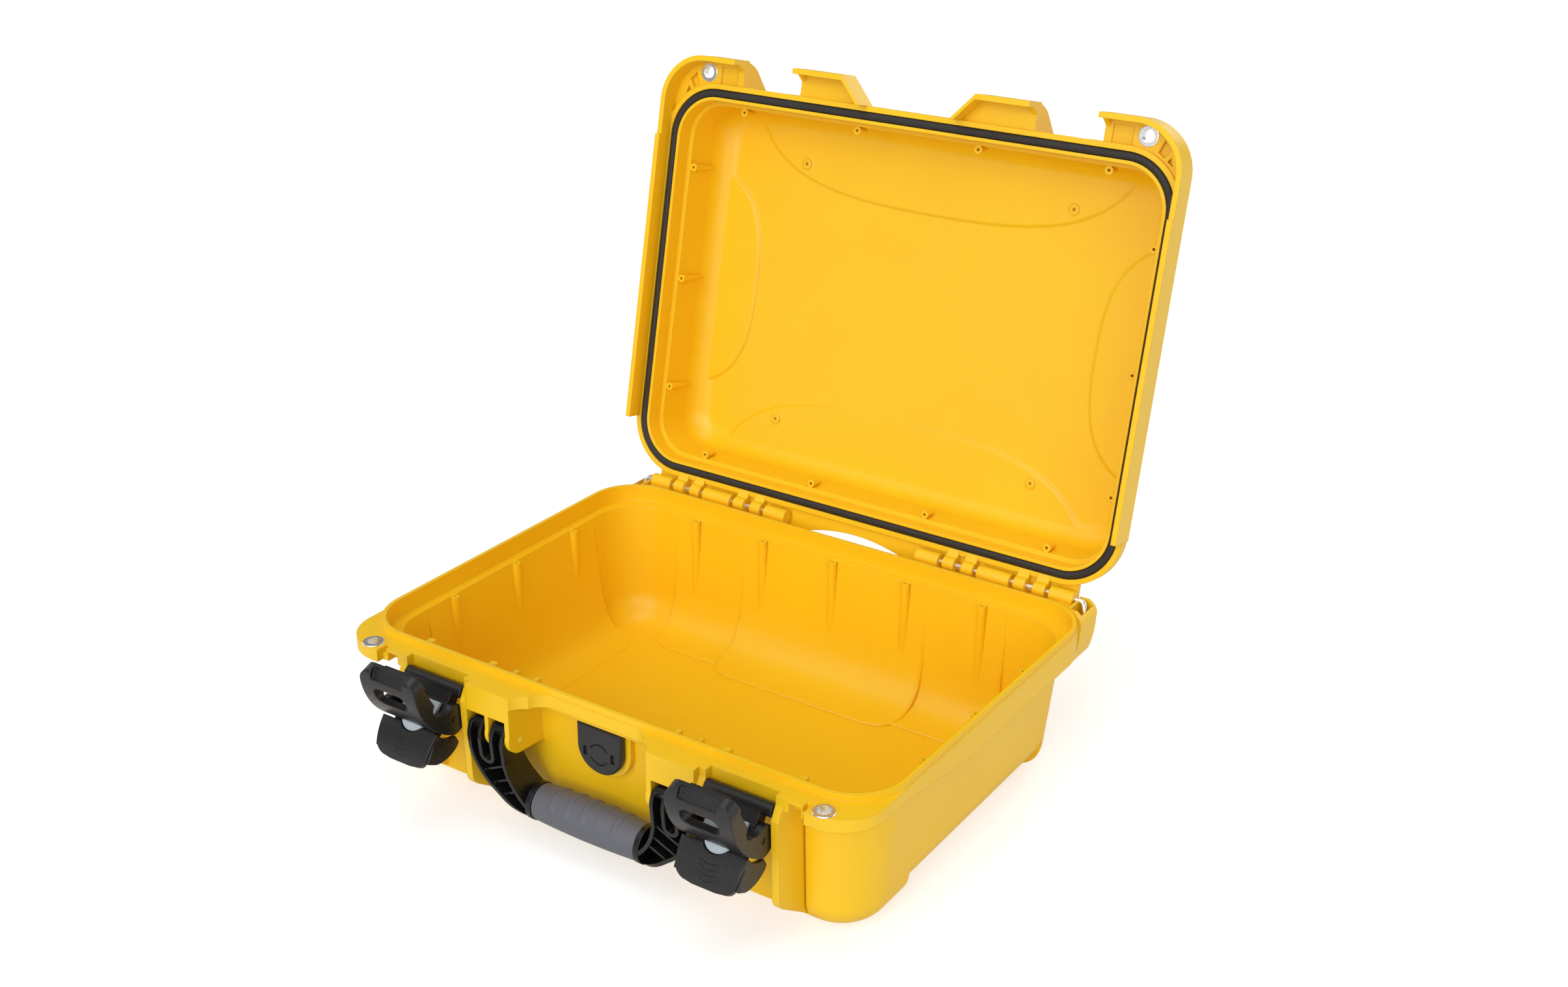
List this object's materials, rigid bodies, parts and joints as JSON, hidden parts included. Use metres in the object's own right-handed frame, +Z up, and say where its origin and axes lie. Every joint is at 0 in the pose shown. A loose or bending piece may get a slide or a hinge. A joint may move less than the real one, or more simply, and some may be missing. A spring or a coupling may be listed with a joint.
{
  "type": "protective hard case",
  "caption": "Open yellow moulded hard case with hinged lid, seal ring, claw latches, padlock eyelets, folding carry handle and pressure valve.",
  "frame": {"origin": "on the floor under the middle of the seal ring", "axes": "+X to the right seen from the front, the front with the latches and the handle faces -Y, +Z up"},
  "size_m": [0.4234, 0.4866, 0.4407],
  "materials": {
    "yellow_resin": "fine moulded grain, satin",
    "black_nylon": "fine moulded grain",
    "grip_rubber": "soft matt",
    "seal_foam": "matt",
    "stainless_steel": "bright",
    "lock_grey": "smooth",
    "membrane": "matt"
  },
  "bodies": {
    "base": {"base_shell": "yellow_resin", "valve_cover": "black_nylon", "valve_ring": "seal_foam", "valve_body": "black_nylon", "valve_membrane": "membrane", "valve_nut": "black_nylon", "hinge_rod_left": "stainless_steel", "base_eyelet_left": "stainless_steel", "latch_pin_left": "stainless_steel", "handle_pin_left": "stainless_steel", "hinge_rod_right": "stainless_steel", "base_eyelet_right": "stainless_steel", "latch_pin_right": "stainless_steel", "handle_pin_right": "stainless_steel"},
    "lid": {"lid_shell": "yellow_resin", "lid_seal": "seal_foam", "lid_eyelet_left": "stainless_steel", "lid_eyelet_right": "stainless_steel"},
    "handle": {"handle_frame": "black_nylon", "handle_grip": "grip_rubber"},
    "lever_left": {"latch_lever_left": "black_nylon", "claw_pin_left": "stainless_steel"},
    "claw_left": {"latch_claw_left": "black_nylon"},
    "lock_left": {"latch_lock_left": "lock_grey"},
    "lever_right": {"latch_lever_right": "black_nylon", "claw_pin_right": "stainless_steel"},
    "claw_right": {"latch_claw_right": "black_nylon"},
    "lock_right": {"latch_lock_right": "lock_grey"}
  },
  "joints": [
    {"name": "lid_hinge", "type": "hinge", "parent": "base", "child": "lid", "pos_m": [0, 0.161, 0.111], "axis": [1, 0, 0], "range_deg": [0, 101.6]},
    {"name": "handle_swing", "type": "hinge", "parent": "base", "child": "handle", "pos_m": [0, -0.1586, 0.0734], "axis": [-1, 0, 0], "range_deg": [0, 95]},
    {"name": "lever_left", "type": "hinge", "parent": "base", "child": "lever_left", "pos_m": [-0.1217, -0.1632, 0.0972], "axis": [1, 0, 0], "range_deg": [0, 35]},
    {"name": "claw_left", "type": "hinge", "parent": "lever_left", "child": "claw_left", "pos_m": [-0.1217, -0.17417, 0.08218], "axis": [1, 0, 0], "range_deg": [-79, 0]},
    {"name": "lock_left", "type": "slide", "parent": "lever_left", "child": "lock_left", "axis": [0, 0.6691, 0.7431], "range_m": [0, 0.005]},
    {"name": "lever_right", "type": "hinge", "parent": "base", "child": "lever_right", "pos_m": [0.1217, -0.1632, 0.0972], "axis": [1, 0, 0], "range_deg": [0, 35]},
    {"name": "claw_right", "type": "hinge", "parent": "lever_right", "child": "claw_right", "pos_m": [0.1217, -0.17417, 0.08218], "axis": [1, 0, 0], "range_deg": [-79, 0]},
    {"name": "lock_right", "type": "slide", "parent": "lever_right", "child": "lock_right", "axis": [0, 0.6691, 0.7431], "range_m": [0, 0.005]}
  ],
  "couplings": [
    {"joint": "claw_left", "follows": "lever_left", "ratio": -2.2571},
    {"joint": "claw_right", "follows": "lever_right", "ratio": -2.2571}
  ]
}
